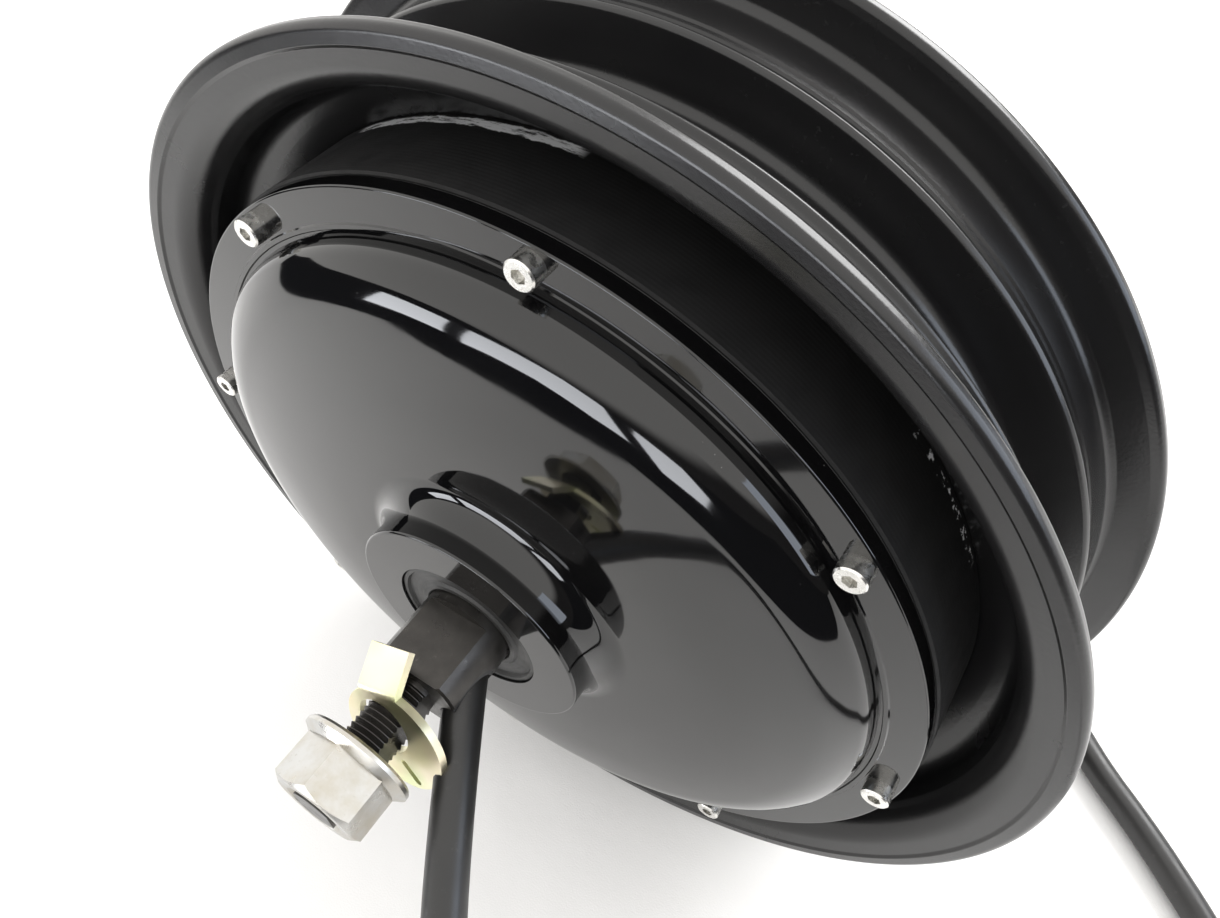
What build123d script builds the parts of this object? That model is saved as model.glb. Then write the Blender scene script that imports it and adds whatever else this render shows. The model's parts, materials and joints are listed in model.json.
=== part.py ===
"""Ten-inch hub motor wheel for an electric scooter: rim, motor, axle and lead.

Origin at the wheel's centre, spin axis along Y, +Z up. The lead leaves the axle on the -Y side.
Lengths are in millimetres.
"""
import os
from math import cos, degrees, pi, radians, sin, tan

from build123d import *

os.makedirs("parts", exist_ok=True)

CABLE, PLAIN = -1, 1  # the two sides of the wheel, as the sign of Y

# Rim
RIM_R = 138.0  # outer radius of the lips
RIM_HALF = 32.3  # lip faces, from the middle plane
SEAT_R = 126.6  # bead seat at the flange: a 253.2 mm seat
SEAT_HALF = 27.3  # tread face of the flange
WELL_R = 113.0
WELL_HALF = 8.8
POCKET_R = 122.0  # underside of the bead seat
WEB_HALF = 9.6  # where the rim's web meets the drum
VALVE_R = 4.15
VALVE_PITCH_R = 117.6
VALVE_ANGLE = 205
VALVE_FACE_R, VALVE_FACE_AT = 6.6, 12.2  # flat for the valve's nut, behind the well's wall

# Drum and magnets
DRUM_R = 110.4
DRUM_BORE_R = 100.4
DRUM_HALF = 34.4
MAGNETS = 40
MAGNET_R = 97.5  # inner face
MAGNET_HALF = 18.0
MAGNET_GAP = 0.6  # degrees between neighbours

# Covers
GASKET = 0.5
FLANGE_IN = DRUM_HALF + GASKET
FLANGE_OUT = 38.9
COVER_R = 109.8
DOME_R = 99.0
# Corners of the dome's outline from its rim inwards: radius, distance out, rounding
DOME = [(98.2, 43.2, 5.0), (92.2, 48.0, 18.0), (78.0, 50.0, 200.0), (60.0, 51.0, 400.0)]
BOSS_R = 33.4
BOSS_OUT = 63.2
SCREWS = 8
SCREW_PITCH_R = 105.4
SCREW_ANGLE = -5.7
SCREW_R = 1.95  # M4
SCREW_HOLE_R = 2.2
SCREW_HEAD_R = 3.5
SCREW_HEAD = 4.0
SCREW_TIP = 28.0

# Bearings (25 x 47 x 12) and oil seals (25 x 42 x 7)
BEARING_IN, BEARING_OUT = 42.6, 54.6
BEARING_MID = (BEARING_IN + BEARING_OUT) / 2
BEARING_R = 23.5
BALL_PITCH_R = 18.0
BALL_R = 3.35
GROOVE_R = 3.42
BALLS = 10
SEAL_R = 21.0
SEAL_IN, SEAL_OUT = 55.6, 62.6

# Axle
JOURNAL_R = 12.5
CORE_R = 15.0
ROUND_END = 64.6
THICK_END = 83.2
THICK_FLAT = 9.05  # half the height across the thick part's flats
THREAD_R = 7.0  # M14 x 1.5
THREAD_PITCH = 1.5
THREAD_DEPTH = 0.85
THREAD_FLAT = 5.0  # half the width across the threaded end's flats
AXLE_END = 118.0
LEAD_BORE_R = 5.6

# Nuts and tab washers
NUT_AF = 22.0
NUT_IN = 102.6
NUT_FLANGE_R = 14.9
NUT_HEIGHT = 15.2
WASHER_AT = 93.6
WASHER_R = 15.0
WASHER_HOLE_R = 7.8
WASHER_HOLE_AT = (-2.1, 3.55)  # the hole's middle, from the disc's middle
WASHER_T = 2.0
TAB_WIDTH = 13.0
TAB_LENGTH = 10.9
TAB_START_R = 12.2
TAB_ROOT_R = 14.4  # where the tab folds
TAB_BEND = 47

# Stator
STATOR_R = 96.8
STATOR_BORE_R = 70.0
STATOR_HALF = 17.5
TEETH = 36
SLOT_BOTTOM_R = 78.0
SHOE_IN_R = 94.4
TOOTH_HALF = 3.75
SLOT_MOUTH = 1.5
INSULATOR = 0.6

# Free lead
LEAD_D = 10.5
FLOOR = -RIM_R
LEAD_Z = FLOOR + LEAD_D / 2 + 0.8
ROUTE = [
    (4.0, -66.5, -0.6), (33.0, -112.4, -9.6), (62.0, -151.0, -36.0), (93.0, -177.0, -74.0),
    (127.0, -188.0, -110.0), (170.0, -181.0, LEAD_Z), (210.0, -152.0, LEAD_Z),
    (238.0, -107.0, LEAD_Z), (250.0, -53.0, LEAD_Z), (246.0, 10.0, LEAD_Z),
    (204.0, 49.0, LEAD_Z), (168.0, 74.0, LEAD_Z), (116.0, 134.0, LEAD_Z),
    (57.8, 189.6, LEAD_Z),
]
COIL_CENTRE = (12.0, 146.0)
COIL_OUTER_R, COIL_INNER_R = 63.2, 52.4  # middles of the two turns that lie side by side
COIL_TOP_R, COIL_TOP_Z = 57.8, LEAD_Z + 10.4  # the last stretch lies on top of both
COIL_TOP_START, COIL_TOP_ARC = -120.0, 210.0
TAIL = [
    (12.0, 203.8, COIL_TOP_Z), (-32.0, 203.0, COIL_TOP_Z + 0.6), (-68.0, 192.0, LEAD_Z + 4.0),
    (-94.0, 166.0, LEAD_Z), (-103.0, 131.0, LEAD_Z),
]
SLEEVE_R, SLEEVE_LENGTH = 6.05, 22.0
PHASE_R, SIGNAL_R = 1.9, 1.3


def outline(points, side=PLAIN):
    """Closed face in the (radius, y) plane from (radius, y, corner radius) points."""
    corners = [p[2] if len(p) > 2 else 0 for p in points]
    wire = FilletPolyline(*[(p[0], side * p[1]) for p in points], radius=corners, close=True)
    return make_face(wire)


def turn(points, side=PLAIN):
    """Solid of revolution about Y."""
    return revolve(outline(points, side), Axis.Y, 360)


def ring(r_in, r_out, y0, y1, side=PLAIN):
    return turn([(r_in, y0), (r_out, y0), (r_out, y1), (r_in, y1)], side)


def rod(r, y0, y1, side=PLAIN):
    """Cylinder along Y."""
    return ring(0, r, y0, y1, side)


def at_angle(shape, angle):
    """The shape turned about Y, from +X towards +Z."""
    return shape.rotate(Axis.Y, -angle)


def around(shape, count, start=0.0):
    return [at_angle(shape, start + 360 / count * k) for k in range(count)]


def slab(x0, x1, y0, y1, z0, z1):
    """Box between two corners, given in any order."""
    box = Box(abs(x1 - x0), abs(y1 - y0), abs(z1 - z0))
    return Pos((x0 + x1) / 2, (y0 + y1) / 2, (z0 + z1) / 2) * box


def cut_all(shape, tools):
    for tool in tools:
        shape = shape - tool
    return shape


def one(shape):
    """The single solid that a boolean result holds."""
    solids = shape.solids()
    assert len(solids) == 1, f"{len(solids)} solids"
    return solids[0]


def save(name, *shapes):
    solids = [s for shape in shapes for s in shape.solids()]
    shape = solids[0] if len(solids) == 1 else Compound(children=solids)
    export_step(shape, f"parts/{name}.step")


# ---------------------------------------------------------------- rim, drum, magnets

def rim():
    """Rim casting: two flanges, bead seats with a hump and two fine grooves, and a well."""
    half = [
        (DRUM_R + 0.02, WEB_HALF), (DRUM_R + 1.0, WEB_HALF + 0.8), (116.0, 12.4, 3.0),
        (POCKET_R - 0.4, 14.6, 5.0), (POCKET_R + 0.3, 23.0, 1.0), (POCKET_R + 1.2, 24.5, 1.0),
        (POCKET_R + 3.4, 30.2, 8.0), (133.2, 31.7, 0.4), (134.0, RIM_HALF, 0.3),
        (RIM_R, RIM_HALF, 1.8), (RIM_R, 28.4, 1.6), (135.2, 27.9, 3.0),
        (SEAT_R, SEAT_HALF, 2.6), (125.7, 18.2), (125.2, 17.8), (125.2, 17.4), (125.65, 17.0),
        (125.6, 16.0), (125.1, 15.6), (125.1, 15.2), (125.6, 14.8), (126.0, 13.6, 1.0),
        (127.1, 12.4, 0.9), (126.4, 11.0, 1.2), (WELL_R + 0.1, WELL_HALF, 3.0),
    ]
    mirrored = [(p[0], -p[1], *p[2:]) for p in reversed(half)]
    body = revolve(outline(half + mirrored), Axis.Y, 360)
    hole = rod(VALVE_R, 2.0, 24.0) + rod(VALVE_FACE_R, VALVE_FACE_AT, 24.0)
    return one(body - at_angle(Pos(VALVE_PITCH_R, 0, 0) * hole, VALVE_ANGLE))


def drum():
    """Steel ring that closes the magnetic circuit; its ends are tapped for the cover screws."""
    c = 0.5
    body = turn([
        (DRUM_BORE_R, -DRUM_HALF), (DRUM_R - c, -DRUM_HALF), (DRUM_R, -DRUM_HALF + c),
        (DRUM_R, DRUM_HALF - c), (DRUM_R - c, DRUM_HALF), (DRUM_BORE_R, DRUM_HALF),
    ])
    depth = DRUM_HALF - SCREW_TIP + 2.0
    for side in (CABLE, PLAIN):
        hole = Pos(SCREW_PITCH_R, 0, 0) * rod(SCREW_R + 0.05, DRUM_HALF - depth, DRUM_HALF + 1, side)
        body = cut_all(body, around(hole, SCREWS, SCREW_ANGLE))
    return one(body)


def magnets(first):
    """Every second magnet, starting with the given one."""
    step = 360 / MAGNETS
    face = outline([
        (MAGNET_R, -MAGNET_HALF), (DRUM_BORE_R - 0.02, -MAGNET_HALF),
        (DRUM_BORE_R - 0.02, MAGNET_HALF), (MAGNET_R, MAGNET_HALF),
    ])
    block = revolve(face, Axis.Y, step - MAGNET_GAP)
    return [at_angle(block, step * k) for k in range(first, MAGNETS, 2)]


# ---------------------------------------------------------------- covers

def cover(side):
    """Domed end cover with a locating spigot, a screw flange and a boss for bearing and seal."""
    wall = 3.6
    body = turn([
        (SEAL_R, BOSS_OUT), (SEAL_R, BEARING_OUT + 0.2), (BEARING_R, BEARING_OUT + 0.2),
        (BEARING_R, 41.8), (30.0, 41.8, 1.0), (30.0, 47.4, 3.0), (DOME_R - wall, 44.6, 7.0),
        (DOME_R - wall, 30.8), (DRUM_BORE_R - 0.05, 30.8, 0.6), (DRUM_BORE_R - 0.05, FLANGE_IN),
        (COVER_R, FLANGE_IN), (COVER_R, FLANGE_OUT, 0.5), (101.5, FLANGE_OUT),
        (101.2, FLANGE_OUT + 0.35), (100.2, FLANGE_OUT + 0.35), (99.9, FLANGE_OUT),
        (DOME_R, FLANGE_OUT), *DOME, (BOSS_R, 51.4, 7.6), (BOSS_R, BOSS_OUT, 0.7),
    ], side)
    hole = Pos(SCREW_PITCH_R, 0, 0) * rod(SCREW_HOLE_R, FLANGE_IN - 1, FLANGE_OUT + 1, side)
    return one(cut_all(body, around(hole, SCREWS, SCREW_ANGLE)))


def gasket(side):
    body = ring(DRUM_BORE_R + 0.2, COVER_R - 0.3, DRUM_HALF, FLANGE_IN, side)
    hole = Pos(SCREW_PITCH_R, 0, 0) * rod(SCREW_HOLE_R, DRUM_HALF - 1, FLANGE_IN + 1, side)
    return one(cut_all(body, around(hole, SCREWS, SCREW_ANGLE)))


def cover_screws(side):
    """Socket cap screws, M4 x 10."""
    socket_af, socket_depth, edge = 3.0, 2.2, 0.35
    top = FLANGE_OUT + SCREW_HEAD
    screw = turn([
        (0, SCREW_TIP), (SCREW_R - 0.3, SCREW_TIP), (SCREW_R, SCREW_TIP + 0.5), (SCREW_R, FLANGE_OUT),
        (SCREW_HEAD_R, FLANGE_OUT), (SCREW_HEAD_R, top - edge), (SCREW_HEAD_R - edge, top), (0, top),
    ], side)
    socket = extrude(Plane.XZ * RegularPolygon(socket_af / 2, 6, major_radius=False), 6, both=True)
    socket = Pos(0, side * (top - socket_depth + 6), 0) * socket
    return around(Pos(SCREW_PITCH_R, 0, 0) * one(screw - socket), SCREWS, SCREW_ANGLE)


def oil_seal(side):
    """Sealing ring pressed into the boss, with its lip just clear of the axle."""
    lip_r = JOURNAL_R + 0.06
    return turn([
        (SEAL_R - 0.02, SEAL_IN), (SEAL_R - 0.02, SEAL_OUT - 0.4), (SEAL_R - 0.4, SEAL_OUT),
        (19.6, SEAL_OUT), (19.2, SEAL_OUT - 0.9), (15.0, SEAL_OUT - 0.9), (14.4, SEAL_OUT - 0.3),
        (lip_r + 0.5, SEAL_OUT - 0.3), (lip_r, SEAL_OUT - 1.0), (lip_r, SEAL_OUT - 1.8),
        (14.6, SEAL_OUT - 4.4), (18.6, SEAL_OUT - 4.8), (18.6, SEAL_IN),
    ], side)


# ---------------------------------------------------------------- bearings

def groove(side):
    """The balls' track, as a torus about Y."""
    torus = Torus(BALL_PITCH_R, GROOVE_R).rotate(Axis.X, 90)
    return Pos(0, side * BEARING_MID, 0) * torus


def outer_race(side):
    c = 0.6
    body = turn([
        (20.4, BEARING_IN), (BEARING_R - c, BEARING_IN), (BEARING_R - 0.02, BEARING_IN + c),
        (BEARING_R - 0.02, BEARING_OUT - c), (BEARING_R - c, BEARING_OUT), (20.4, BEARING_OUT),
    ], side)
    return one(body - groove(side))


def inner_race(side):
    return one(ring(JOURNAL_R + 0.01, 15.6, BEARING_IN, BEARING_OUT, side) - groove(side))


def balls(side):
    ball = Pos(BALL_PITCH_R, side * BEARING_MID, 0) * Sphere(BALL_R)
    return around(ball, BALLS)


def cage(side):
    body = ring(17.0, 19.0, BEARING_MID - 4.2, BEARING_MID + 4.2, side)
    pocket = Pos(BALL_PITCH_R, side * BEARING_MID, 0) * Rot(0, 90, 0) * Cylinder(BALL_R + 0.1, 6)
    return one(cut_all(body, around(pocket, BALLS)))


def shields(side):
    """Two thin rings that close the bearing, held by the outer race."""
    return [ring(15.9, 20.35, y, y + 0.6, side) for y in (BEARING_IN + 0.4, BEARING_OUT - 1.0)]


# ---------------------------------------------------------------- axle and its hardware

def thread(side):
    """Threaded end as a stack of V-shaped ridges, with a chamfered tip."""
    start, tip = THICK_END, AXLE_END
    root = THREAD_R - THREAD_DEPTH
    points = [(0, start - 1), (root, start - 1), (root, start + 1.2)]
    y = start + 1.2
    while y + THREAD_PITCH < tip - 1.0:
        points += [(THREAD_R, y + THREAD_PITCH * 0.45), (THREAD_R, y + THREAD_PITCH * 0.55),
                   (root, y + THREAD_PITCH)]
        y += THREAD_PITCH
    points += [(root, tip), (0, tip)]
    body = turn(points, side)
    for sign in (-1, 1):
        body = body - slab(sign * THREAD_FLAT, sign * 9, -AXLE_END - 1, AXLE_END + 1, -9, 9)
    return body


def lead_way(r):
    """The slanted way that the lead takes out of the axle, as a rod of the given radius."""
    start, leave = Vector(*ROUTE[0]), Vector(*ROUTE[1])
    direction = (leave - start).normalized()
    return Solid.make_cylinder(r, 36, Plane(start - direction * 6, z_dir=direction))


def axle():
    c = 0.6
    body = turn([
        (0, -THICK_END), (JOURNAL_R - c, -THICK_END), (JOURNAL_R, -THICK_END + c),
        (JOURNAL_R, -42.4), (CORE_R, -42.4), (CORE_R, 42.4), (JOURNAL_R, 42.4),
        (JOURNAL_R, THICK_END - c), (JOURNAL_R - c, THICK_END), (0, THICK_END),
    ])
    for side in (CABLE, PLAIN):
        for sign in (-1, 1):
            y0, y1 = sorted((side * ROUND_END, side * (THICK_END + 1)))
            body = body - slab(-14, 14, y0, y1, sign * THICK_FLAT, sign * 14)
        body = body + thread(side)
    # Hollow for the lead: slanted mouth, bore along the axis, and a way out below the windings.
    body = body - rod(LEAD_BORE_R, 24.0, 68.0, CABLE)
    body = body - Pos(0, -29.6, -10) * Cylinder(LEAD_BORE_R, 20)
    body = body - lead_way(LEAD_D / 2 + 0.75)
    body = body - slab(-2.5, 2.5, -14, 14, CORE_R - 3.0, CORE_R + 1)
    return one(body)


def shaft_key():
    return slab(-2.45, 2.45, -13.9, 13.9, CORE_R - 2.95, CORE_R + 2.2)


def tab_washer(side):
    """Disc with an off-centre hole and a tab bent inboard; the tab locks the axle in a slotted frame plate."""
    half, bend = WASHER_T / 2, radians(TAB_BEND)
    outer = (-half + TAB_LENGTH * sin(bend), TAB_ROOT_R + TAB_LENGTH * cos(bend))
    inner = (outer[0] + WASHER_T * cos(bend), outer[1] - WASHER_T * sin(bend))
    fold = TAB_ROOT_R - WASHER_T * tan(bend / 2)
    profile = FilletPolyline(
        (0, -half, TAB_START_R), (0, -half, TAB_ROOT_R), (0, *outer), (0, *inner), (0, half, fold),
        (0, half, TAB_START_R), radius=[0, 3.0, 0, 0, 1.0, 0], close=True)
    tab = extrude(make_face(profile), TAB_WIDTH / 2, dir=(1, 0, 0), both=True)
    disc = rod(WASHER_R, -half, half) - slab(-TAB_WIDTH / 2, TAB_WIDTH / 2, -half - 1, half + 1, TAB_START_R, WASHER_R + 1)
    hole = extrude(Plane.XZ * Pos(*WASHER_HOLE_AT) * Circle(WASHER_HOLE_R), 3, both=True)
    slot = extrude(Plane.XZ * Pos(1.7, -10.0) * Rot(0, 0, -62) * SlotOverall(7.8, 2.0), 3, both=True)
    body = disc + tab - hole - slot
    if side == PLAIN:
        x, z = WASHER_HOLE_AT
        return one(Pos(-x, WASHER_AT, -z) * body.mirror(Plane.XZ))
    # On the lead's side the nut is loose, so the washer hangs turned and leans on the thread.
    return one(Pos(3.3, -WASHER_AT - 0.6, -2.3) * Rot(-13.5, 0, -2.5) * Rot(0, -23.4, 0) * body)


def axle_nut(side):
    """Hexagon nut with a pressed flange."""
    outer = NUT_IN + NUT_HEIGHT
    turned = 30 if side == CABLE else 0
    flats = RegularPolygon(NUT_AF / 2, 6, major_radius=False, rotation=turned)
    hexagon = extrude(Plane.XZ * flats, NUT_HEIGHT)
    y = NUT_IN if side == CABLE else -outer
    prism = Pos(0, -y, 0) * hexagon
    across = NUT_AF / 2 / cos(radians(30))
    blank = turn([
        (0, NUT_IN), (NUT_FLANGE_R - 0.6, NUT_IN), (NUT_FLANGE_R, NUT_IN + 0.7),
        (NUT_FLANGE_R, NUT_IN + 1.7), (across + 0.2, NUT_IN + 3.2), (across + 0.2, outer - 1.4),
        (NUT_AF / 2 - 0.5, outer), (0, outer),
    ], side)
    flange = turn([
        (0, NUT_IN), (NUT_FLANGE_R - 0.6, NUT_IN), (NUT_FLANGE_R, NUT_IN + 0.7),
        (NUT_FLANGE_R, NUT_IN + 1.7), (across - 0.4, NUT_IN + 3.4), (0, NUT_IN + 3.4),
    ], side)
    body = (prism & blank) + flange
    bore = turn([
        (0, NUT_IN - 1), (THREAD_R + 0.9, NUT_IN - 1), (THREAD_R + 0.9, NUT_IN), (THREAD_R + 0.05, NUT_IN + 0.9),
        (THREAD_R + 0.05, outer - 0.9), (THREAD_R + 0.9, outer), (THREAD_R + 0.9, outer + 1), (0, outer + 1),
    ], side)
    return one(body - bore)


# ---------------------------------------------------------------- stator

def tooth_plan(r_out, tooth_half, shoes=True):
    """Yoke with teeth, in the XZ plane."""
    plan = Circle(r_out) - Circle(STATOR_BORE_R)
    pitch = 2 * pi / TEETH
    half_in = SLOT_BOTTOM_R * sin(pitch / 2) - tooth_half
    half_out = SHOE_IN_R * sin(pitch / 2) - tooth_half
    pocket = make_face(Polyline(
        (SLOT_BOTTOM_R, -half_in), (SHOE_IN_R, -half_out), (SHOE_IN_R, half_out),
        (SLOT_BOTTOM_R, half_in), close=True))
    mouth = SLOT_MOUTH if shoes else half_out
    opening = Pos((SHOE_IN_R + r_out + 1) / 2 - 0.1, 0) * Rectangle(r_out + 1 - SHOE_IN_R + 0.2, 2 * mouth)
    slots = [Rot(0, 0, 360 / TEETH * (k + 0.5)) * s for k in range(TEETH) for s in (pocket, opening)]
    return plan - slots


def stator_core():
    plan = tooth_plan(STATOR_R, TOOTH_HALF)
    return one(extrude(Plane.XZ * plan, STATOR_HALF, both=True))


def end_insulator(side):
    plan = tooth_plan(SHOE_IN_R, TOOTH_HALF + 0.3, shoes=False)
    body = extrude(Plane.XZ * plan, INSULATOR)
    y = -STATOR_HALF if side == CABLE else STATOR_HALF + INSULATOR
    return one(Pos(0, y, 0) * body)


def coils(phase):
    """Twelve of the coils: each is a rounded loop round one tooth."""
    r0, r1 = SLOT_BOTTOM_R + 1.0, SHOE_IN_R - 0.8
    pitch = 2 * pi / TEETH
    half0, half1 = r0 * sin(pitch / 2) - 0.25, r1 * sin(pitch / 2) - 0.25
    reach = STATOR_HALF + 5.4
    plan = make_face(Polyline((r0, -half0), (r1, -half1), (r1, half1), (r0, half0), close=True))
    body = extrude(Plane.XZ * plan, reach, both=True)
    corners = body.edges().filter_by(lambda e: abs(abs(e.center().Y) - reach) < 0.01 and abs(e.center().Z) > 5)
    body = fillet(corners, 2.4)
    inner = TOOTH_HALF + 0.4
    window = slab(r0 - 2, r1 + 2, -STATOR_HALF - 0.8, STATOR_HALF + 0.8, -inner, inner)
    coil = one(body - window)
    order = [k for k in range(TEETH) if (k // 2) % 3 == phase]
    return [at_angle(coil, 360 / TEETH * k) for k in order]


def spider():
    """Aluminium carrier between the axle and the stator core."""
    half, arms = 14.0, 6
    body = ring(62.0, STATOR_BORE_R - 0.02, -15.0, 15.0) + ring(CORE_R + 0.02, 25.0, -half, half)
    arm = slab(24.0, 63.0, -9.0, 9.0, -6.0, 6.0)
    for piece in around(arm, arms, 30):
        body = body + piece
    return one(body - slab(-2.5, 2.5, -half - 1, half + 1, CORE_R - 1, CORE_R + 2.3))


def sensor_board():
    """Arc-shaped circuit board on the lead's side of the stator."""
    face = outline([(61.5, 23.6), (75.5, 23.6), (75.5, 25.2), (61.5, 25.2)], CABLE)
    return at_angle(revolve(face, Axis.Y, 60), -60)


def board_posts():
    """Two spacers that hold the board off the core."""
    post = Pos(72.5, 0, 0) * rod(1.8, STATOR_HALF + INSULATOR, 23.6, CABLE)
    return [at_angle(post, a) for a in (-114, -66)]


def hall_sensors():
    """Three sensors standing in slot mouths near the magnets."""
    sensor = slab(94.9, 96.4, -25.4, -14.0, -1.35, 1.35)
    return [at_angle(sensor, -90 + 10 * (k + 0.5)) for k in (-2, 0, 2)]


# ---------------------------------------------------------------- lead

def corner_radii(points):
    """Largest even arc at each inner corner: 0.45 of the shorter run over tan(half the turn)."""
    radii = []
    for a, b, c in zip(points, points[1:], points[2:]):
        run_in, run_out = Vector(*b) - Vector(*a), Vector(*c) - Vector(*b)
        half_turn = radians(run_in.get_angle(run_out)) / 2
        radii.append(0.45 * min(run_in.length, run_out.length) / tan(half_turn))
    return radii


def tube(points, r):
    """Round tube along straight runs joined by tangent arcs; prints the arcs' radii."""
    radii = corner_radii(points)
    print("lead radii", [round(v) for v in radii])
    path = FilletPolyline(*points, radius=radii)
    start = Vector(*points[0])
    plane = Plane(start, z_dir=Vector(*points[1]) - start)
    return sweep(plane * Circle(r), path=path)


def lead_bush():
    """Rubber bush round the lead in the axle's slanted mouth, flush with the axle."""
    envelope = rod(JOURNAL_R - 0.1, 66.0, THICK_END - 0.1, CABLE)
    for sign in (-1, 1):
        envelope = envelope - slab(-14, 14, -90, -60, sign * (THICK_FLAT - 0.1), sign * 14)
    return one((lead_way(LEAD_D / 2 + 0.7) - lead_way(LEAD_D / 2 + 0.02)) & envelope)


def inner_bundle():
    """The lead's cores on their way through the hollow axle."""
    points = [(0, -29.6, -17.0), (0, -29.6, 0.3), (0, -60.2, 0.6), ROUTE[0]]
    path = FilletPolyline(*points, radius=[5.0, 12.0])
    return sweep(Plane(points[0], z_dir=(0, 0, 1)) * Circle(3.4), path=path)


def phase_leads():
    """Three insulated wires from the bundle to the coils' ends."""
    leads = []
    for angle in (-104, -92, -80):
        a = radians(angle)
        end = (79.5 * cos(a), -26.6, 79.5 * sin(a))
        points = [(end[0] * 0.06, -29.6, -18.4), (end[0] * 0.25, -33.0, -30.0), (end[0] * 0.8, -33.0, -62.0),
                  (end[0], -31.0, end[2]), end]
        path = FilletPolyline(*points, radius=[6.0, 8.0, 0.9])
        start = Vector(*points[0])
        leads.append(sweep(Plane(start, z_dir=Vector(*points[1]) - start) * Circle(1.5), path=path))
    return leads


def lead_coil():
    """Outer shape of the wound length: two turns side by side and the last stretch on top."""
    r = LEAD_D / 2
    section = [
        (COIL_INNER_R - r, LEAD_Z - r, 4.9), (COIL_OUTER_R + r, LEAD_Z - r, 4.9),
        (COIL_OUTER_R + r, LEAD_Z + r, 4.9), (COIL_INNER_R - r, LEAD_Z + r, 4.9),
    ]
    wire = FilletPolyline(*[(p[0], 0, p[1]) for p in section], radius=[p[2] for p in section], close=True)
    body = revolve(make_face(wire), Axis.Z, 360)
    top = Plane((COIL_TOP_R, 0, COIL_TOP_Z), x_dir=(1, 0, 0), z_dir=(0, -1, 0)) * Circle(r)
    top = revolve(top, Axis.Z, COIL_TOP_ARC).rotate(Axis.Z, COIL_TOP_START)
    return one(Pos(*COIL_CENTRE, 0) * (body + top))


def coil_ties():
    """Two straps round the coil's turns."""
    r, gap, thick, half_width = LEAD_D / 2, 0.15, 0.6, 4.0
    x0, x1 = COIL_INNER_R - r - gap, COIL_OUTER_R + r + gap
    z0, z1 = LEAD_Z - r - gap, LEAD_Z + r + gap
    hoop = slab(x0 - thick, x1 + thick, -half_width, half_width, z0 - thick, z1 + thick)
    hoop = hoop - slab(x0, x1, -half_width - 1, half_width + 1, z0, z1)
    return [Pos(*COIL_CENTRE, 0) * hoop.rotate(Axis.Z, a) for a in (150, 178)]


def end_frame(offset=0.0):
    """Plane at the lead's end, looking along it, moved on by offset."""
    end, before = Vector(*TAIL[-1]), Vector(*TAIL[-2])
    along = (end - before).normalized()
    return Plane(end + along * offset, x_dir=along.cross(Vector(0, 0, 1)), z_dir=along)


def end_sleeve():
    """Heat-shrink sleeve where the lead's jacket ends and its wires come out."""
    body = extrude(end_frame(-SLEEVE_LENGTH / 2) * Circle(SLEEVE_R), SLEEVE_LENGTH)
    core = extrude(end_frame(-SLEEVE_LENGTH / 2 - 1) * Circle(LEAD_D / 2), SLEEVE_LENGTH / 2 + 1)
    return one(body - core)


# Where each wire leaves the sleeve (sideways, down) and where it ends (sideways, along).
PHASE_STARTS = [(-2.1, 1.2), (0.0, -2.45), (2.1, 1.2)]
PHASE_ENDS = [(-14.0, 37.0), (-4.0, 43.0), (6.0, 39.0)]
SIGNAL_START, SIGNAL_END = (3.6, -2.0), (21.0, 34.0)
BED = LEAD_Z - FLOOR - 0.9  # from the lead's middle down to just above the surface


def wire(start, end, r, drop):
    """One wire from the sleeve, spreading sideways and coming down to the surface."""
    frame = end_frame(SLEEVE_LENGTH / 2)
    side = 0.5 * (start[0] + end[0])
    points = [(*start, 0.0), (*start, 5.0), (side, drop, 15.0), (end[0], drop, 26.0), (end[0], drop, end[1])]
    points = [frame.from_local_coords(Vector(*p)) for p in points]
    path = FilletPolyline(*points, radius=[4.0, 7.0, 7.0])
    return sweep(Plane(points[0], z_dir=points[1] - points[0]) * Circle(r), path=path)


def phase_wires():
    return [wire(s, e, PHASE_R, BED - 2.95) for s, e in zip(PHASE_STARTS, PHASE_ENDS)]


def wire_end(end, drop):
    """Plane at a wire's end, looking along it."""
    frame = end_frame(SLEEVE_LENGTH / 2)
    point = frame.from_local_coords(Vector(end[0], drop, end[1]))
    return Plane(point, x_dir=frame.x_dir, z_dir=frame.z_dir)


def phase_terminals():
    """Bullet terminals with insulating sleeves."""
    terminals = []
    for end in PHASE_ENDS:
        base = wire_end(end, BED - 2.95)
        terminals.append(one(extrude(base * Circle(2.95), 13.0) + extrude(base.offset(13.0) * Circle(2.0), 8.0)))
    return terminals


def signal_wire():
    return wire(SIGNAL_START, SIGNAL_END, SIGNAL_R, BED - 4.5)


def signal_plug():
    """Six-way plug housing for the sensors' wires."""
    base = wire_end(SIGNAL_END, BED - 4.5)
    body = extrude(base * Rectangle(16.0, 9.0), 20.0)
    cavity = extrude(base.offset(8.0) * Rectangle(13.6, 6.6), 13.0)
    return one(body - cavity)


# ---------------------------------------------------------------- write every node

SIDES = {"cable": CABLE, "plain": PLAIN}

save("rim", rim())
save("magnet_drum", drum())
save("magnets_north", *magnets(0))
save("magnets_south", *magnets(1))
for name, side in SIDES.items():
    save(f"{name}_side_cover", cover(side))
    save(f"{name}_side_gasket", gasket(side))
    save(f"{name}_side_screws", *cover_screws(side))
    save(f"{name}_side_oil_seal", oil_seal(side))
    save(f"{name}_bearing_outer_race", outer_race(side))
    save(f"{name}_bearing_inner_race", inner_race(side))
    save(f"{name}_bearing_balls", *balls(side))
    save(f"{name}_bearing_cage", cage(side))
    save(f"{name}_bearing_shields", *shields(side))
    save(f"{name}_side_tab_washer", tab_washer(side))
    save(f"{name}_side_axle_nut", axle_nut(side))
    save(f"{name}_side_end_insulator", end_insulator(side))

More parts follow.
